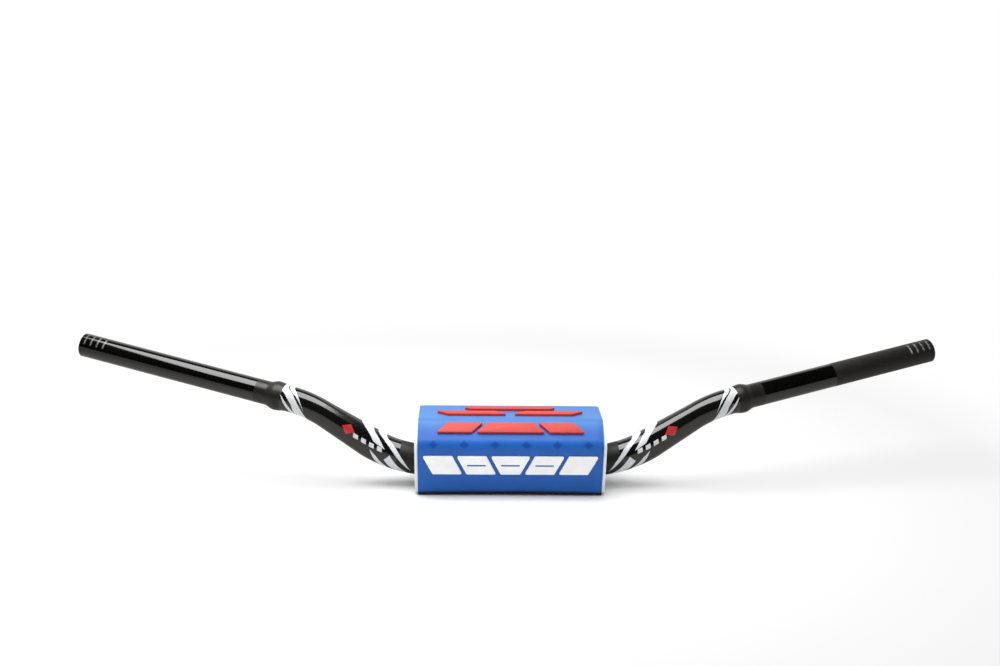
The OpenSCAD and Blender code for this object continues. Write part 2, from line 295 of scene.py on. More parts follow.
def tube_route(size):
    """The bar's axis as a curve object, from its left end to its right: straight stretches and arcs."""
    arm = Vector((math.cos(size.arm_angle), 0, math.sin(size.arm_angle)))
    grip = grip_direction(size)
    turn = arm.angle(grip)
    inward = (grip - arm * arm.dot(grip)).normalized()
    start = Vector((size.centre_length / 2, 0, 0))
    low = start + size.rise_bend_r * Vector((math.sin(size.arm_angle), 0, 1 - math.cos(size.arm_angle)))
    high = low + size.arm_length * arm
    out = high + size.sweep_bend_r * (math.sin(turn) * arm + (1 - math.cos(turn)) * inward)
    end = out + (size.shoulder_fall + size.shoulder_rise + size.grip_length) * grip
    rise_pull = 4 / 3 * math.tan(size.arm_angle / 4) * size.rise_bend_r
    sweep_pull = 4 / 3 * math.tan(turn / 4) * size.sweep_bend_r
    along = Vector((1, 0, 0))
    # Each point with its direction and how far its two handles reach, back and ahead
    right = [(start, along, size.centre_length / 3, rise_pull), (low, arm, rise_pull, size.arm_length / 3),
             (high, arm, size.arm_length / 3, sweep_pull), (out, grip, sweep_pull, (end - out).length / 3),
             (end, grip, (end - out).length / 3, (end - out).length / 3)]
    flip = Vector((-1, 1, 1))
    left = [(p * flip, -(d * flip), ahead, back) for p, d, back, ahead in reversed(right)]
    select_only()
    bpy.ops.curve.primitive_bezier_curve_add()
    route = bpy.context.active_object
    route.data.dimensions = "3D"
    route.data.resolution_u = 64
    route.data.twist_mode = "Z_UP"
    points = route.data.splines[0].bezier_points
    points.add(len(left) + len(right) - len(points))
    for point, (place, direction, back, ahead) in zip(points, left + right):
        point.handle_left_type = point.handle_right_type = "FREE"
        point.co = place
        point.handle_left = place - direction * back
        point.handle_right = place + direction * ahead
    return route


def straight_tube(size):
    """The tube before it is bent: a ring extruded along the outside, over the lip and back in the bore."""
    outside, inside, at = tube_profile(size)
    rings = [(-x, r) for x, r in reversed(outside)] + outside
    rings += list(reversed(inside)) + [(-x, r) for x, r in inside]
    rings.append(rings[0])
    select_only()
    bpy.ops.mesh.primitive_circle_add(vertices=size.segments, radius=rings[0][1],
                                      location=(rings[0][0], 0, 0), rotation=(0, math.pi / 2, 0))
    piece = bpy.context.active_object
    bpy.ops.object.transform_apply(location=True, rotation=True, scale=True)
    bpy.ops.object.mode_set(mode="EDIT")
    bpy.ops.mesh.select_mode(type="EDGE")
    bpy.ops.mesh.select_all(action="SELECT")
    for (x, radius), (next_x, next_radius) in zip(rings, rings[1:]):
        bpy.ops.mesh.extrude_region_move(TRANSFORM_OT_translate={"value": (next_x - x, 0, 0)})
        share = next_radius / radius
        bpy.ops.transform.resize(value=(1, share, share), center_override=(next_x, 0, 0))
    bpy.ops.mesh.select_all(action="SELECT")
    bpy.ops.mesh.remove_doubles(threshold=0.00001)
    bpy.ops.mesh.normals_make_consistent(inside=False)
    bpy.ops.object.mode_set(mode="OBJECT")
    return piece, at


def unwrap_tube(piece):
    """Writes each corner's distance along the bar and its turn round it, from the top towards the front."""
    layer = piece.data.uv_layers.new(name="along_and_round")
    for face in piece.data.polygons:
        middle = math.atan2(-face.center.y, face.center.z)
        for corner in face.loop_indices:
            place = piece.data.vertices[piece.data.loops[corner].vertex_index].co
            turn = math.atan2(-place.y, place.z)
            turn += 2 * math.pi * round((middle - turn) / (2 * math.pi))
            layer.data[corner].uv = (place.x, turn / (2 * math.pi))


# Edges of the film stripes on an arm, as (distance from the middle in mm, turn in degrees
# from the top towards the front). Each stripe has an inner and an outer edge. Below them is
# the distance in metres that stands for 1 in the edges' curves.
PAD_STRIPES = [
    ([(121, -150), (121, -16), (121.8, 6), (119.5, 22), (108.9, 50), (97.6, 90), (90.1, 124)],
     [(131, -150), (131, -16), (132, 6), (128.9, 22), (114.8, 56), (101.4, 93), (90.2, 124)]),
    ([(136.4, -150), (136.4, -16), (137, 6), (135.1, 22), (118.3, 70)],
     [(149.5, -150), (149.5, -16), (149.5, 6), (145.1, 26), (132, 62.5), (118.4, 70)]),
    ([(112, 84), (94.5, 140), (86, 180)],
     [(112.1, 84), (115.5, 108), (107.6, 136), (96, 180)]),
    ([(131.4, 94), (123.2, 108), (112, 138), (102, 180)],
     [(131.5, 94), (125.8, 116), (119.5, 140), (108, 180)]),
]
SHOULDER_STRIPES = [
    ([(214.8, -150), (214.8, -16), (213.3, 14), (207, 54), (199.5, 104)],
     [(219.0, -150), (218.9, -12), (218.1, 11), (214.8, 30), (209.9, 50), (203.3, 82), (199.6, 104)]),
    ([(219.6, -150), (219.6, -12), (219.2, 11), (216.1, 30), (212, 50), (205.2, 86), (197.6, 126),
      (188, 180)],
     [(222.8, -150), (222.8, 38), (218.9, 54), (212, 90), (208.3, 128), (199, 180)]),
    ([(222.7, 60), (216.4, 90), (209.4, 128), (201, 180)],
     [(222.8, 62), (219, 92), (213.5, 128), (205, 180)]),
]
STRIPE_REACH = 0.25


def edge_curve(tree, turn, points):
    """Distance along the bar of a stripe's edge, at each turn round it."""
    result = add(tree, "FloatCurve", None, {"Value": turn})
    mapping = result.node.mapping
    line = mapping.curves[0]
    # All edges share the whole turn: each goes straight on from its first and last point
    places = [((degrees + 180) / 360, mm / 1000 / STRIPE_REACH) for mm, degrees in points]
    while len(line.points) < len(places):
        line.points.new(0.5, 0.5)
    for point, place in zip(line.points, places):
        point.location = place
        point.handle_type = "VECTOR"
    mapping.extend = "HORIZONTAL"
    mapping.update()
    return result


def stripe(tree, along, turn, inner, outer):
    """1 inside one film stripe."""
    start, end = ((inner[i][1] + 180) / 360 for i in (0, -1))
    after = add(tree, "Math", {"operation": "GREATER_THAN"}, {0: along, 1: edge_curve(tree, turn, inner)})
    before = add(tree, "Math", {"operation": "LESS_THAN"}, {0: along, 1: edge_curve(tree, turn, outer)})
    lower = add(tree, "Math", {"operation": "GREATER_THAN"}, {0: turn, 1: start})
    upper = add(tree, "Math", {"operation": "LESS_THAN"}, {0: turn, 1: end})
    return all_of(tree, after, before, lower, upper)


def film(tree, distance, round_turn, stripes):
    """1 where one of these white film stripes lies."""
    along = add(tree, "Math", {"operation": "DIVIDE"}, {0: distance, 1: STRIPE_REACH})
    turn = add(tree, "Math", {"operation": "ADD"}, {0: round_turn, 1: 0.5})
    white = None
    for inner, outer in stripes:
        one = stripe(tree, along, turn, inner, outer)
        white = one if white is None else add(tree, "Math", {"operation": "MAXIMUM"}, {0: white, 1: one})
    return white


def along_and_round(tree):
    """Signed distance along the bar and turn round it, from the tube's own map."""
    place = add(tree, "UVMap", {"uv_map": "along_and_round"})
    x, y, _ = add(tree, "SeparateXYZ", None, {0: place}).node.outputs
    return x, y


def guide_marks(tree, distance, turn, ink_left):
    """Four cut-off guide lines near each end, 6.4 mm apart, rubbed faint at their ends."""
    guide = add(tree, "Math", {"operation": "SUBTRACT"}, {0: distance, 1: GUIDES_START})
    guide = add(tree, "Math", {"operation": "DIVIDE"}, {0: guide, 1: GUIDE_PITCH})
    guide = add(tree, "Math", {"operation": "FRACT"}, {0: guide})
    guide = between(tree, guide, 0.41, 0.57, 0.08)
    span = between(tree, distance, GUIDES_START, GUIDES_END, 0.0001)
    arc = between(tree, turn, 0.035, 0.155, 0.04)
    # Rubbed: the ink is left in patches about 3 mm long
    spot = add(tree, "TexCoord", None, None, 3)
    rub = add(tree, "TexNoise", None, {"Vector": spot, "Scale": 330.0, "Detail": 2.0})
    ink = add(tree, "MapRange", None,
              {"Value": rub, "From Min": 0.35, "From Max": 0.6, "To Min": 0.1, "To Max": ink_left})
    return all_of(tree, guide, span, arc, ink)


def anodised_alloy(colours):
    """Black anodised alloy 7000 under a sealed, polished oxide skin: hard and glassy, so the tube
    mirrors the studio in long crisp lines. White and red film lies on the arms."""
    material, tree = blank_material("black_anodised_alloy")
    signed, round_turn = along_and_round(tree)
    distance = add(tree, "Math", {"operation": "ABSOLUTE"}, {0: signed})
    white = film(tree, distance, round_turn, PAD_STRIPES + SHOULDER_STRIPES)
    # A plain badge: four slanted white dashes and a red lozenge
    slant = add(tree, "Math", {"operation": "MULTIPLY_ADD"}, {0: round_turn, 1: 0.040, 2: distance})
    pitch = add(tree, "Math", {"operation": "DIVIDE"}, {0: slant, 1: 0.0085})
    phase = add(tree, "Math", {"operation": "FRACT"}, {0: pitch})
    dash = between(tree, phase, 0.22, 0.80, 0.02)
    dashes_span = between(tree, slant, 0.1275, 0.1615, 0.0001)
    lean = add(tree, "Math", {"operation": "MULTIPLY_ADD"}, {0: distance, 1: -0.45, 2: round_turn})
    dashes_height = between(tree, lean, 0.1375, 0.1805, 0.001)
    dashes = all_of(tree, dash, dashes_span, dashes_height)
    white = add(tree, "Math", {"operation": "MAXIMUM"}, {0: white, 1: dashes})
    far = share_off(tree, distance, LOZENGE_AT[0], LOZENGE_HALF[0])
    high = share_off(tree, round_turn, LOZENGE_AT[1], LOZENGE_HALF[1])
    lozenge = add(tree, "Math", {"operation": "ADD"}, {0: far, 1: high})
    lozenge = add(tree, "Math", {"operation": "LESS_THAN"}, {0: lozenge, 1: 1.0})
    # Drawing lines 0.5 mm apart, and slow waves of the polish, 14 mm long
    spot = add(tree, "TexCoord", None, None, 3)
    grain = add(tree, "TexNoise", None, {"Vector": spot, "Scale": 2000.0, "Detail": 2.0})
    waves = add(tree, "TexNoise", None, {"Vector": spot, "Scale": 70.0, "Detail": 3.0, "Roughness": 0.6})
    # Painted reflection: the arms are drawn a shade lighter black than the grips, standing for the dim room
    # that they mirror
    grips = add(tree, "Math", {"operation": "GREATER_THAN"}, {0: distance, 1: COLLAR_START})
    black = add(tree, "Mix", {"data_type": "RGBA"},
                {0: grips, 6: rgba(colours.tube), 7: rgba("#050504")}, 2)
    colour = add(tree, "Mix", {"data_type": "RGBA"}, {0: white, 6: black, 7: rgba(colours.stripe)}, 2)
    colour = add(tree, "Mix", {"data_type": "RGBA"}, {0: lozenge, 6: colour, 7: rgba(colours.mark)}, 2)
    marks = guide_marks(tree, distance, round_turn, 0.36)
    colour = add(tree, "Mix", {"data_type": "RGBA"}, {0: marks, 6: colour, 7: rgba("#c4c4c2")}, 2)
    gloss = add(tree, "MapRange", None,
                {"Value": waves, "From Min": 0.3, "From Max": 0.7, "To Min": 0.08, "To Max": 0.12})
    filmed = add(tree, "Math", {"operation": "MAXIMUM"}, {0: white, 1: lozenge})
    rough = add(tree, "Mix", None, {0: filmed, 2: gloss, 3: 0.27})
    bump = add(tree, "Bump", None, {"Strength": 0.02, "Distance": 0.00012, "Height": grain})
    finish_material(tree, {"Base Color": colour, "Roughness": rough, "IOR": 1.70, "Normal": bump})
    return material


def blasted_alloy(colours):
    """The same black alloy, bead-blasted before it was anodised, so that the clamps and the grip hold:
    a dull brownish black with a fine dimpled grain, rubbed smoother and paler where the grip has slid
    over it, and darker on the clamping length."""
    material, tree = blank_material("blasted_black_alloy")
    signed, round_turn = along_and_round(tree)
    distance = add(tree, "Math", {"operation": "ABSOLUTE"}, {0: signed})
    spot = add(tree, "TexCoord", None, None, 3)
    # Blasting dimples, drawn 0.6 mm apart so that they show, and clouds of the blasting, 8 mm across
    dimples = add(tree, "TexNoise", None, {"Vector": spot, "Scale": 1700.0, "Detail": 2.0})
    cloud = add(tree, "TexNoise", None, {"Vector": spot, "Scale": 120.0, "Detail": 3.0})
    rubbed = add(tree, "MapRange", {"interpolation_type": "SMOOTHSTEP"},
                 {"Value": distance, "From Min": RUBBED_START, "From Max": RUBBED_START + 0.002})
    dull = add(tree, "Mix", {"data_type": "RGBA"},
               {0: cloud, 6: rgba("#141311"), 7: rgba("#1d1b18")}, 2)
    clamped = add(tree, "Math", {"operation": "LESS_THAN"}, {0: distance, 1: CLAMP_END})
    paler = add(tree, "Mix", {"data_type": "RGBA"}, {0: rubbed, 6: dull, 7: rgba("#1c1b19")}, 2)
    dark = add(tree, "Mix", {"data_type": "RGBA"}, {0: clamped, 6: paler, 7: rgba("#080807")}, 2)
    white = film(tree, distance, round_turn, PAD_STRIPES)
    colour = add(tree, "Mix", {"data_type": "RGBA"}, {0: white, 6: dark, 7: rgba(colours.stripe)}, 2)
    rough = add(tree, "MapRange", None, {"Value": cloud, "To Min": 0.36, "To Max": 0.44})
    rough = add(tree, "Mix", None, {0: rubbed, 2: rough, 3: 0.30})
    rough = add(tree, "Mix", None, {0: clamped, 2: rough, 3: 0.54})
    bump = add(tree, "Bump", None, {"Strength": 0.3, "Distance": 0.00012, "Height": dimples})
    finish_material(tree, {"Base Color": colour, "Roughness": rough, "IOR": 1.48, "Normal": bump})
    return material


def knurled_alloy(colours):
    """The right grip's outer length, knurled for glue and anodised: a dull black net of small diamonds."""
    material, tree = blank_material("knurled_black_alloy")
    signed, turn = along_and_round(tree)
    # Knurl drawn at a 1.2 mm pitch, a little coarser than life so that it shows. The grip is
    # 69.7 mm round, which turns its lines by 45 degrees. The clouds of wear are 11 mm across
    one_way = add(tree, "Math", {"operation": "MULTIPLY_ADD"}, {0: turn, 1: 0.0697, 2: signed})
    one_way = add(tree, "Math", {"operation": "PINGPONG"}, {0: one_way, 1: 0.0006})
    other_way = add(tree, "Math", {"operation": "MULTIPLY_ADD"}, {0: turn, 1: -0.0697, 2: signed})
    other_way = add(tree, "Math", {"operation": "PINGPONG"}, {0: other_way, 1: 0.0006})
    diamonds = add(tree, "Math", {"operation": "MINIMUM"}, {0: one_way, 1: other_way})
    spot = add(tree, "TexCoord", None, None, 3)
    cloud = add(tree, "TexNoise", None, {"Vector": spot, "Scale": 90.0, "Detail": 3.0})
    colour = add(tree, "Mix", {"data_type": "RGBA"},
                 {0: cloud, 6: rgba("#11100e"), 7: rgba("#1c1a17")}, 2)
    marks = guide_marks(tree, signed, turn, 0.6)
    colour = add(tree, "Mix", {"data_type": "RGBA"}, {0: marks, 6: colour, 7: rgba("#b9b9b6")}, 2)
    rough = add(tree, "MapRange", None, {"Value": cloud, "To Min": 0.40, "To Max": 0.48})
    bump = add(tree, "Bump", None, {"Strength": 0.5, "Distance": 0.5, "Height": diamonds})
    finish_material(tree, {"Base Color": colour, "Roughness": rough, "IOR": 1.45, "Normal": bump})
    return material


def cut_alloy():
    """Drawn alloy in the bore and on the saw cuts: bare grey metal with fine tool marks."""
    material, tree = blank_material("cut_bare_alloy")
    place = add(tree, "TexCoord", None, None, 3)
    # Marks of the tool, drawn 1.1 mm apart so that they show
    lines = add(tree, "TexNoise", None, {"Vector": place, "Scale": 900.0, "Detail": 3.0})
    rough = add(tree, "MapRange", None, {"Value": lines, "To Min": 0.28, "To Max": 0.5})
    bump = add(tree, "Bump", None, {"Strength": 0.2, "Distance": 0.0001, "Height": lines})
    finish_material(tree, {"Base Color": rgba("#8f9194"), "Metallic": 1.0, "Roughness": rough,
                           "Normal": bump})
    return material


class HANDLEBAR_OT_tube(bpy.types.Operator):
    """Models the tapered tube straight and bends it along its route"""
    bl_idname = "handlebar.tube"
    bl_label = "Tapered tube"

    def execute(self, context):
        size = context.scene.tube_sizes
        piece, at = straight_tube(size)
        unwrap_tube(piece)
        for face in piece.data.polygons:
            across = math.hypot(face.center.y, face.center.z)
            out = Vector((0, face.center.y, face.center.z)).normalized().dot(face.normal)
            if out < -0.2 or abs(face.normal.x) > 0.9 or across < size.grip_d / 2 - 0.003:
                face.material_index = 1
            elif abs(face.center.x) < CLAMP_END or COLLAR_START < abs(face.center.x) < COLLAR_END:
                face.material_index = 2
            elif face.center.x > KNURL_START:
                face.material_index = 3
        select_only(piece)
        bpy.ops.object.mode_set(mode="EDIT")
        bpy.ops.mesh.select_all(action="SELECT")
        bpy.ops.transform.translate(value=(at[6], 0, 0))
        bpy.ops.object.mode_set(mode="OBJECT")
        route = tube_route(size)
        apply_modifier(piece, "CURVE", object=route, deform_axis="POS_X")
        bpy.data.objects.remove(route)
        select_only(piece)
        bpy.ops.object.shade_smooth_by_angle(angle=math.radians(30))
        colours = context.scene.colours
        finishes = [anodised_alloy(colours), cut_alloy(), blasted_alloy(colours), knurled_alloy(colours)]
        hand_in(piece, "tapered_tube", "bar_tube", finishes, "handlebar_tube")
        return {"FINISHED"}


# Pad

def closed_cell_foam(colours):
    """Closed-cell polyethylene foam: white, dull and soft, with a skin of tiny cells
    about 0.6 mm across that light goes a little way into."""
    material, tree = blank_material("closed_cell_foam")
    place = add(tree, "TexCoord", None, None, 3)
    cells = add(tree, "TexVoronoi", None, {"Vector": place, "Scale": 1500.0, "Randomness": 1.0})
    # Hollows and soiling of the cut face, 17 mm across
    wear = add(tree, "TexNoise", None, {"Vector": place, "Scale": 60.0, "Detail": 4.0})
    shade = add(tree, "MapRange", None,
                {"Value": wear, "From Min": 0.3, "From Max": 0.7, "To Min": 0.93, "To Max": 1.0})
    colour = add(tree, "VectorMath", {"operation": "SCALE"}, {0: rgba(colours.foam)[:3], "Scale": shade})
    bump = add(tree, "Bump", None, {"Strength": 0.35, "Distance": 0.0002, "Height": cells})
    bump = add(tree, "Bump", None, {"Strength": 0.3, "Distance": 0.0006, "Height": wear, "Normal": bump})
    finish_material(tree, {"Base Color": colour, "Roughness": 0.78, "Subsurface Weight": 0.15,
                           "Subsurface Scale": 0.002, "Normal": bump})
    return material


class HANDLEBAR_OT_core(bpy.types.Operator):
    """Models the foam core with its soft cut edges"""
    bl_idname = "handlebar.core"
    bl_label = "Foam core"

    def execute(self, context):
        piece = merged_copy("pad_core")
        bpy.ops.object.mode_set(mode="EDIT")
        bpy.ops.mesh.select_mode(type="FACE")
        bpy.ops.mesh.select_all(action="DESELECT")
        mesh = bmesh.from_edit_mesh(piece.data)
        for face in mesh.faces:
            face.select_set(abs(face.normal.x) > 0.99)
        bmesh.update_edit_mesh(piece.data)
        bpy.ops.mesh.region_to_loop()
        bpy.ops.mesh.bevel(offset=0.0008, segments=3, affect="EDGES", clamp_overlap=True)
        bpy.ops.object.mode_set(mode="OBJECT")
        bpy.ops.object.shade_smooth_by_angle(angle=math.radians(35))
        hand_in(piece, "foam_core", "foam", [closed_cell_foam(context.scene.colours)], "pad_core")
        return {"FINISHED"}


def moulded_skin(colours):
    """Heat-moulded soft skin over thin foam: satin blue with a fine leathery grain, slightly
    glossier where the mould pressed hardest, with tone-on-tone printed lozenges."""
    material, tree = blank_material("moulded_soft_skin")
    place = add(tree, "TexCoord", None, None, 3)
    # Grain 0.7 mm across, creases between its pores 1.1 mm apart, and slow unevenness of the foam
    # under it, 20 mm across
    grain = add(tree, "TexNoise", None, {"Vector": place, "Scale": 1400.0, "Detail": 3.0, "Roughness": 0.6})
    pores = add(tree, "TexVoronoi", {"feature": "DISTANCE_TO_EDGE"}, {"Vector": place, "Scale": 900.0})
    uneven = add(tree, "TexNoise", None, {"Vector": place, "Scale": 45.0, "Detail": 3.0})
    x, y, z = add(tree, "SeparateXYZ", None, {0: place}).node.outputs
    # Tone-on-tone lozenges in a row at the front edge. Ten whole steps keep the count above 0
    step = add(tree, "Math", {"operation": "DIVIDE"}, {0: x, 1: PRINT_PITCH})
    step = add(tree, "Math", {"operation": "ADD"}, {0: step, 1: 10.0})
    step = add(tree, "Math", {"operation": "FRACT"}, {0: step})
    side = share_off(tree, step, 0.5, 0.19)
    rise = share_off(tree, z, PRINT_HEIGHT, 0.0042)
    spot = add(tree, "Math", {"operation": "ADD"}, {0: side, 1: rise})
    spot = add(tree, "MapRange", {"interpolation_type": "SMOOTHSTEP"},
               {"Value": spot, "From Min": 0.55, "From Max": 1.1, "To Min": 1.0, "To Max": 0.0})
    ahead = add(tree, "Math", {"operation": "LESS_THAN"}, {0: y, 1: 0.0})
    spot = all_of(tree, spot, ahead)
    shade = add(tree, "MapRange", None,
                {"Value": uneven, "From Min": 0.3, "From Max": 0.7, "To Min": 0.94, "To Max": 1.04})
    # Painted light: the upper faces, from the bevel upwards, are drawn a paler blue, as the light from
    # above makes them look
    painted_top_light = add(tree, "MapRange", {"interpolation_type": "SMOOTHSTEP"},
               {"Value": z, "From Min": 0.035, "From Max": 0.048})
    colour = add(tree, "Mix", {"data_type": "RGBA"},
                 {0: painted_top_light, 6: rgba(colours.cover), 7: rgba(colours.cover_painted_light)}, 2)
    colour = add(tree, "VectorMath", {"operation": "SCALE"}, {0: colour, "Scale": shade})
    colour = add(tree, "Mix", {"data_type": "RGBA"}, {0: spot, 6: colour, 7: rgba("#0b4594")}, 2)
    # Painted shade: a near-black band along the foot, standing for the shade of the fold and its contact
    # shadow, in a line that arches a little over 1 mm at the middle
    arch = add(tree, "Math", {"operation": "MULTIPLY"}, {0: x, 1: x})
    arch = add(tree, "Math", {"operation": "MULTIPLY_ADD"}, {0: arch, 1: 0.17, 2: z})
    painted_foot_shade = add(tree, "MapRange", {"interpolation_type": "SMOOTHSTEP"},
                  {"Value": arch, "From Min": -0.0208, "From Max": -0.0172, "To Min": 1.0, "To Max": 0.0})
    colour = add(tree, "Mix", {"data_type": "RGBA"}, {0: painted_foot_shade, 6: colour, 7: rgba(colours.painted_foot_shade)}, 2)
    rough = add(tree, "Mix", None, {0: spot, 2: 0.46, 3: 0.32})
    rough = add(tree, "Mix", None, {0: painted_foot_shade, 2: rough, 3: 0.8})
    height = add(tree, "Math", {"operation": "MULTIPLY_ADD"}, {0: pores, 1: 0.6, 2: grain})
    bump = add(tree, "Bump", None, {"Strength": 0.12, "Distance": 0.0002, "Height": height})
    bump = add(tree, "Bump", None, {"Strength": 0.35, "Distance": 0.0008, "Height": uneven, "Normal": bump})
    finish_material(tree, {"Base Color": colour, "Roughness": rough, "IOR": 1.38, "Sheen Weight": 0.06,
                           "Sheen Roughness": 0.5, "Normal": bump})
    return material


def cover_section(pad):
    """Corners of the cover's outer face, each with its radius: from the inner flap's edge up the back,
    over the top and down the front to the outer flap's edge."""
    inner = pad.flap_step - pad.base
    share = pad.flap_step / (pad.back_edge + pad.base)
    back = pad.back_foot + (pad.back_reach - pad.back_foot) * share
    return [(pad.inner_flap, inner, 0), (back, inner, pad.foot_round),
            (pad.back_reach, pad.back_edge, pad.edge_round), (pad.top_back, pad.top_back_up, pad.top_round),
            (-pad.top_front, pad.top_front_up, pad.top_round),
            (-pad.front_reach, pad.front_edge, pad.edge_round),
            (-pad.front_foot, -pad.base, pad.foot_round), (pad.outer_flap, -pad.base, 0)]


def section_path(section, x):
    """Points along the section: straight runs in steps of about 5 mm, and each corner an arc of 8 steps."""
    corners = [Vector((x, y, z)) for y, z, _ in section]
    points = [corners[0]]
    for i in range(1, len(section)):
        here, radius = corners[i], section[i][2]
        stop, arc = here, []
        if radius:
            into, out = (here - corners[i - 1]).normalized(), (corners[i + 1] - here).normalized()
            turn = into.angle(out)
            stop = here - into * radius * math.tan(turn / 2)
            side = (out - into * into.dot(out)).normalized()
            centre = stop + side * radius
            arc = [centre + radius * (math.sin(turn * k / 8) * into - math.cos(turn * k / 8) * side)
                   for k in range(1, 9)]
        run = stop - points[-1]
        cuts = max(1, round(run.length / 0.005))
        points += [points[-1] + run * k / cuts for k in range(1, cuts + 1)] + arc
    return points


class HANDLEBAR_OT_cover(bpy.types.Operator):
    """Models the moulded cover as one folded sheet with soft rims"""
    bl_idname = "handlebar.cover"
    bl_label = "Moulded cover"

    def execute(self, context):
        pad = context.scene.pad_sizes
        section = cover_section(pad)
        half = pad.length / 2
        select_only()
        bpy.ops.mesh.primitive_plane_add(size=0.001, location=(0, 0, 0))
        piece = context.active_object
        bpy.ops.object.mode_set(mode="EDIT")
        bpy.ops.mesh.select_mode(type="VERT")
        bpy.ops.mesh.select_all(action="SELECT")
        bpy.ops.mesh.merge(type="CENTER")
        points = section_path(section, -half)
        bpy.ops.transform.translate(value=points[0])
        for place, following in zip(points, points[1:]):
            bpy.ops.mesh.extrude_vertices_move(TRANSFORM_OT_translate={"value": following - place})
        bpy.ops.mesh.select_all(action="SELECT")
        steps = 28
        for _ in range(steps):
            bpy.ops.mesh.extrude_region_move(TRANSFORM_OT_translate={"value": (pad.length / steps, 0, 0)})
        bpy.ops.mesh.select_all(action="SELECT")
        bpy.ops.mesh.normals_make_consistent(inside=False)
        bpy.ops.object.mode_set(mode="OBJECT")
        top = max(piece.data.polygons, key=lambda face: face.center.z)
        if top.normal.z < 0:
            piece.data.flip_normals()
        self.relax(piece, pad)
        apply_modifier(piece, "SOLIDIFY", thickness=pad.thickness, offset=-1, use_even_offset=True)
        apply_modifier(piece, "BEVEL", width=pad.rim, segments=3, limit_method="ANGLE",
                       angle_limit=math.radians(60))
        select_only(piece)
        bpy.ops.object.shade_smooth_by_angle(angle=math.radians(40))
        hand_in(piece, "moulded_cover", "cover", [moulded_skin(context.scene.colours)], "pad_cover")
        return {"FINISHED"}

    def relax(self, piece, pad):
        """Lifts the front fold at its middle and draws the rims in, as a moulded wrap does."""
        half = pad.length / 2
        # The lift fades out 7 mm above the base, and the rims draw in 0.25 mm over their last 6 mm
        fold, rim_in, rim_reach = 0.007, 0.00025, 0.006
        for vertex in piece.data.vertices:
            place = vertex.co
            share = 1 - (place.x / half) ** 2
            if place.y < pad.inner_flap:
                low = min(1, max(0, (fold - pad.base - place.z) / fold))
                ahead = min(1, max(0, (pad.inner_flap - place.y) / 0.03))
                place.z += pad.lift * share * low ** 2 * ahead
            drawn = rim_in * max(0, 1 - (half - abs(place.x)) / rim_reach) ** 2
            place.y -= math.copysign(drawn, place.y) if abs(place.y) > 0.02 else 0
            place.z -= drawn if place.z > 0.02 else 0


def tape_pile(colours):
    """Woven nylon tape with a dense pile of hooks and loops, black and dull."""
    material, tree = blank_material("nylon_hook_and_loop")
    place = add(tree, "TexCoord", None, None, 3)
    # Tufts of hooks and loops 0.9 mm apart
    pile = add(tree, "TexVoronoi", None, {"Vector": place, "Scale": 1100.0, "Randomness": 0.6})
    colour = add(tree, "Mix", {"data_type": "RGBA"},
                 {0: pile, 6: rgba(colours.tape), 7: rgba("#34363a")}, 2)
    bump = add(tree, "Bump", None, {"Strength": 0.8, "Distance": 0.0004, "Height": pile})
    finish_material(tree, {"Base Color": colour, "Roughness": 0.85, "Sheen Weight": 0.3, "Normal": bump})
    return material


class HANDLEBAR_OT_tapes(bpy.types.Operator):
    """Models the hook tape and the loop tape between the two flaps"""
    bl_idname = "handlebar.tapes"
    bl_label = "Hook and loop tapes"

    def execute(self, context):
        material = tape_pile(context.scene.colours)
        for node, name in (("hook_strip", "hook_tape"), ("loop_strip", "loop_tape")):
            piece = merged_copy(node)
            bpy.ops.object.mode_set(mode="EDIT")
            bpy.ops.mesh.select_all(action="SELECT")
            bpy.ops.mesh.bevel(offset=0.0002, segments=2, affect="EDGES")
            bpy.ops.object.mode_set(mode="OBJECT")
            bpy.ops.object.shade_smooth_by_angle(angle=math.radians(35))
            hand_in(piece, name, "hook_and_loop", [material], node)
        return {"FINISHED"}


def moulded_relief(name, colour):
    """Solid-coloured moulded rubber: satin, with the fine spark-eroded grain of its mould
    and edges that catch a little more light."""
    material, tree = blank_material(name)
    place = add(tree, "TexCoord", None, None, 3)
    # Grain drawn 0.6 mm across so that it shows, and clouds of wear, 11 mm across
    grain = add(tree, "TexNoise", None, {"Vector": place, "Scale": 1800.0, "Detail": 2.0})
    cloud = add(tree, "TexNoise", None, {"Vector": place, "Scale": 90.0, "Detail": 3.0})
    shade = add(tree, "MapRange", None,
                {"Value": cloud, "From Min": 0.3, "From Max": 0.7, "To Min": 0.95, "To Max": 1.03})
    tint = add(tree, "VectorMath", {"operation": "SCALE"}, {0: rgba(colour)[:3], "Scale": shade})
    rough = add(tree, "MapRange", None, {"Value": cloud, "To Min": 0.42, "To Max": 0.52})
    bump = add(tree, "Bump", None, {"Strength": 0.1, "Distance": 0.00015, "Height": grain})
    finish_material(tree, {"Base Color": tint, "Roughness": rough, "IOR": 1.42, "Normal": bump})
    return material


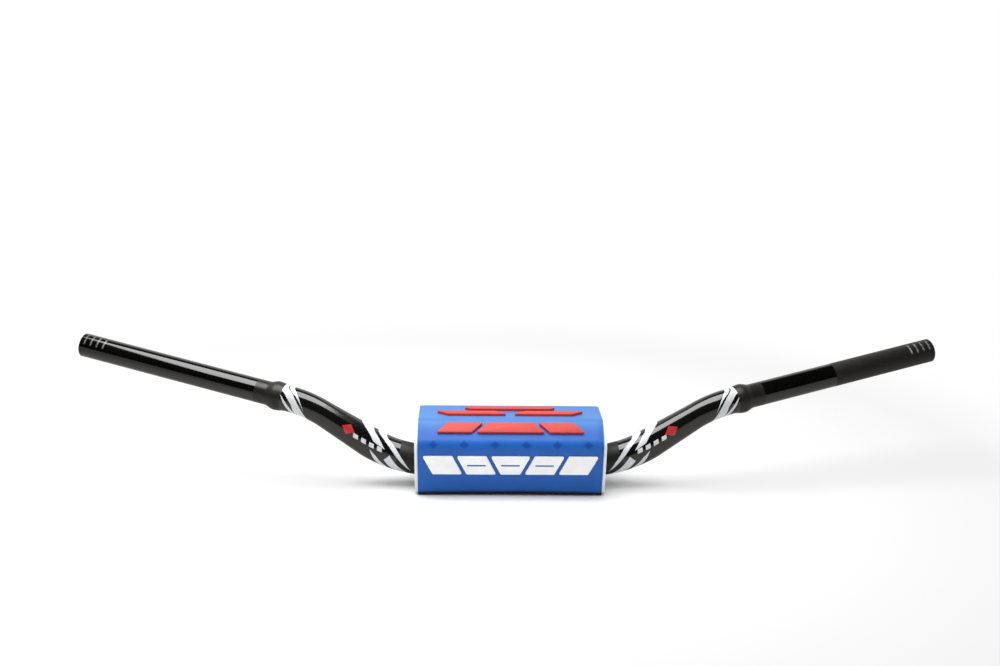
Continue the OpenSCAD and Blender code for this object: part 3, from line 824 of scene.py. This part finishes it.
def relief_piece(node, rim):
    """A raised piece from its CAD solid, with a rounded rim round its outer face and its groove."""
    piece = merged_copy(node)
    largest = max(piece.data.polygons, key=lambda face: face.area * (face.normal.dot(face.center) > 0))
    out = largest.normal.copy()
    level = max(vertex.co.dot(out) for vertex in piece.data.vertices)
    bpy.ops.object.mode_set(mode="EDIT")
    bpy.ops.mesh.select_mode(type="FACE")
    bpy.ops.mesh.select_all(action="DESELECT")
    mesh = bmesh.from_edit_mesh(piece.data)
    for face in mesh.faces:
        on_top = abs(face.calc_center_median().dot(out) - level) < 0.0001
        face.select_set(face.normal.dot(out) > 0.999 and on_top)
    bmesh.update_edit_mesh(piece.data)
    bpy.ops.mesh.region_to_loop()
    bpy.ops.mesh.bevel(offset=rim, segments=3, affect="EDGES", clamp_overlap=True)
    bpy.ops.object.mode_set(mode="OBJECT")
    for face in piece.data.polygons:
        # A groove's floor lies between the outer face and the back
        depth = level - face.center.dot(out)
        face.material_index = 1 if face.normal.dot(out) > 0.999 and 0.0004 < depth < 0.001 else 0
    bpy.ops.object.shade_smooth_by_angle(angle=math.radians(40))
    return piece


class HANDLEBAR_OT_blocks(bpy.types.Operator):
    """Models the row of white raised blocks on the front face"""
    bl_idname = "handlebar.blocks"
    bl_label = "White front blocks"

    def execute(self, context):
        white = moulded_relief("moulded_white_rubber", context.scene.colours.relief_white)
        # The grooves are moulded down to the blue of the skin
        blue = moulded_relief("moulded_blue_rubber", context.scene.colours.cover)
        for node in BLOCKS:
            piece = relief_piece(node, 0.0003)
            hand_in(piece, "moulded_" + node, "relief_white", [white, blue], node)
        return {"FINISHED"}


class HANDLEBAR_OT_bars(bpy.types.Operator):
    """Models the red raised bars on the bevel and the top"""
    bl_idname = "handlebar.bars"
    bl_label = "Red top and bevel bars"

    def execute(self, context):
        material = moulded_relief("moulded_red_rubber", context.scene.colours.relief_red)
        for node in BARS:
            piece = relief_piece(node, 0.0004)
            hand_in(piece, "moulded_" + node, "relief_red", [material], node)
        return {"FINISHED"}


# Studio

# The softbox close overhead, a little to the left of the bar, as its reflections show
SOFTBOX_PLACE, SOFTBOX_SIZE, SOFTBOX_WATTS = (-0.155, -0.035, 0.6), (0.77, 0.47), 6.9
# The camera as it was fitted to the photo: place, turn in degrees, and lens in mm
CAMERA_PLACE, CAMERA_TURN, CAMERA_LENS = (-0.03561, -1.24364, 0.45283), (75.1238, -0.6660, -0.9933), 51.05
FLOOR_SIZE = 12


def studio_paper():
    """Matt white paper sweep. Away from the object the camera sees it as plain white."""
    material, tree = blank_material("matt_paper")
    place = add(tree, "TexCoord", None, None, 3)
    reach = add(tree, "VectorMath", {"operation": "LENGTH"}, {0: place}, 1)
    far = add(tree, "MapRange", {"interpolation_type": "SMOOTHSTEP"},
              {"Value": reach, "From Min": 0.30, "From Max": 0.65})
    ray = add(tree, "LightPath").node.outputs
    glossy = ray["Is Glossy Ray"]
    seen = add(tree, "Math", {"operation": "MAXIMUM"}, {0: ray["Is Camera Ray"], 1: glossy})
    # The photo's bright exposure also thins the arms' shadow, from beside the pad
    beside = add(tree, "MapRange", None,
                 {"Value": reach, "From Min": 0.088, "From Max": 0.155, "To Max": 0.55})
    far = add(tree, "Math", {"operation": "MAXIMUM"}, {0: far, 1: beside})
    far = all_of(tree, far, seen)
    # The photo's exposure whitens the paper, but the tube mirrors it as it is
    level = add(tree, "Mix", None, {0: glossy, 2: 1.0, 3: 0.45})
    tone = add(tree, "Mix", {"data_type": "RGBA"},
               {0: glossy, 6: (0.84, 0.84, 0.84, 1), 7: (0.62, 0.60, 0.57, 1)}, 2)
    paper = add(tree, "BsdfDiffuse", None, {"Color": tone, "Roughness": 0.4})
    white = add(tree, "Emission", None, {"Color": (1, 1, 1, 1), "Strength": level})
    surface = add(tree, "MixShader", None, {0: far, 1: paper, 2: white})
    add(tree, "OutputMaterial", None, {"Surface": surface})
    return material


class HANDLEBAR_OT_stage(bpy.types.Operator):
    """Sets up the paper floor, the white background, the overhead softbox and the camera"""
    bl_idname = "handlebar.stage"
    bl_label = "Studio stage"

    def execute(self, context):
        scene = context.scene
        scene.view_settings.view_transform = "Standard"
        select_only()
        bpy.ops.mesh.primitive_grid_add(x_subdivisions=4, y_subdivisions=4, size=FLOOR_SIZE,
                                        location=(0, 0, -scene.pad_sizes.base))
        floor = context.active_object
        floor.name = "paper_floor"
        bpy.ops.object.transform_apply(location=True)
        floor.data.materials.append(studio_paper())

        bpy.ops.object.light_add(type="AREA", location=SOFTBOX_PLACE)
        lamp = context.active_object
        lamp.name = "overhead_softbox"
        lamp.data.shape = "RECTANGLE"
        lamp.data.size, lamp.data.size_y = SOFTBOX_SIZE
        lamp.data.energy = SOFTBOX_WATTS

        world = bpy.data.worlds.new("white_cove")
        scene.world = world
        world.use_nodes = True
        tree = world.node_tree
        tree.nodes.clear()
        _, y, z = add(tree, "SeparateXYZ", None, {0: add(tree, "TexCoord")}).node.outputs
        # Mirrored in the tube: a white wall behind, up to about 35 degrees, in a dark room
        low = add(tree, "MapRange", {"interpolation_type": "SMOOTHSTEP"},
                  {"Value": z, "From Min": 0.50, "From Max": 0.85, "To Min": 1.0, "To Max": 0.0})
        behind = add(tree, "MapRange", {"interpolation_type": "SMOOTHSTEP"},
                     {"Value": y, "From Min": -0.1, "From Max": 0.2})
        wall = all_of(tree, low, behind)
        mirrored = add(tree, "MapRange", None, {"Value": wall, "To Min": 0.01, "To Max": 0.9})
        ray = add(tree, "LightPath").node.outputs
        strength = add(tree, "Mix", None, {0: ray["Is Glossy Ray"], 2: 0.46, 3: mirrored})
        seen = add(tree, "Math", {"operation": "MAXIMUM"},
                   {0: ray["Is Camera Ray"], 1: ray["Is Transmission Ray"]})
        strength = add(tree, "Mix", None, {0: seen, 2: strength, 3: 1.0})
        background = add(tree, "Background", None, {"Color": (1, 1, 1, 1), "Strength": strength})
        add(tree, "OutputWorld", None, {"Surface": background})

        bpy.ops.object.camera_add(location=CAMERA_PLACE, rotation=[math.radians(a) for a in CAMERA_TURN])
        camera = context.active_object
        camera.name = "photo_camera"
        camera.data.sensor_width = 36
        camera.data.lens = CAMERA_LENS
        camera.data.clip_start = 0.05
        scene.camera = camera
        return {"FINISHED"}


class HANDLEBAR_PT_panel(bpy.types.Panel):
    """Lists the steps that build the handlebar"""
    bl_idname = "HANDLEBAR_PT_panel"
    bl_label = "Motocross handlebar"
    bl_space_type = "VIEW_3D"
    bl_region_type = "UI"
    bl_category = "Handlebar"

    def draw(self, context):
        for step in STEPS:
            self.layout.operator(step.bl_idname)
        for group in (context.scene.tube_sizes, context.scene.pad_sizes, context.scene.colours):
            box = self.layout.box()
            for name in group.__annotations__:
                box.prop(group, name)


STEPS = [HANDLEBAR_OT_stage, HANDLEBAR_OT_tube, HANDLEBAR_OT_core, HANDLEBAR_OT_cover,
         HANDLEBAR_OT_tapes, HANDLEBAR_OT_blocks, HANDLEBAR_OT_bars]
CLASSES = [TubeSizes, PadSizes, Colours, *STEPS, HANDLEBAR_PT_panel]


def register():
    for item in CLASSES:
        bpy.utils.register_class(item)
    bpy.types.Scene.tube_sizes = PointerProperty(type=TubeSizes)
    bpy.types.Scene.pad_sizes = PointerProperty(type=PadSizes)
    bpy.types.Scene.colours = PointerProperty(type=Colours)


def unregister():
    del bpy.types.Scene.tube_sizes, bpy.types.Scene.pad_sizes, bpy.types.Scene.colours
    for item in reversed(CLASSES):
        bpy.utils.unregister_class(item)


def main():
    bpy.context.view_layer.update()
    register()
    bpy.ops.handlebar.stage()
    bpy.ops.handlebar.tube()
    bpy.ops.handlebar.core()
    bpy.ops.handlebar.cover()
    bpy.ops.handlebar.tapes()
    bpy.ops.handlebar.blocks()
    bpy.ops.handlebar.bars()


if __name__ == "__main__":
    main()
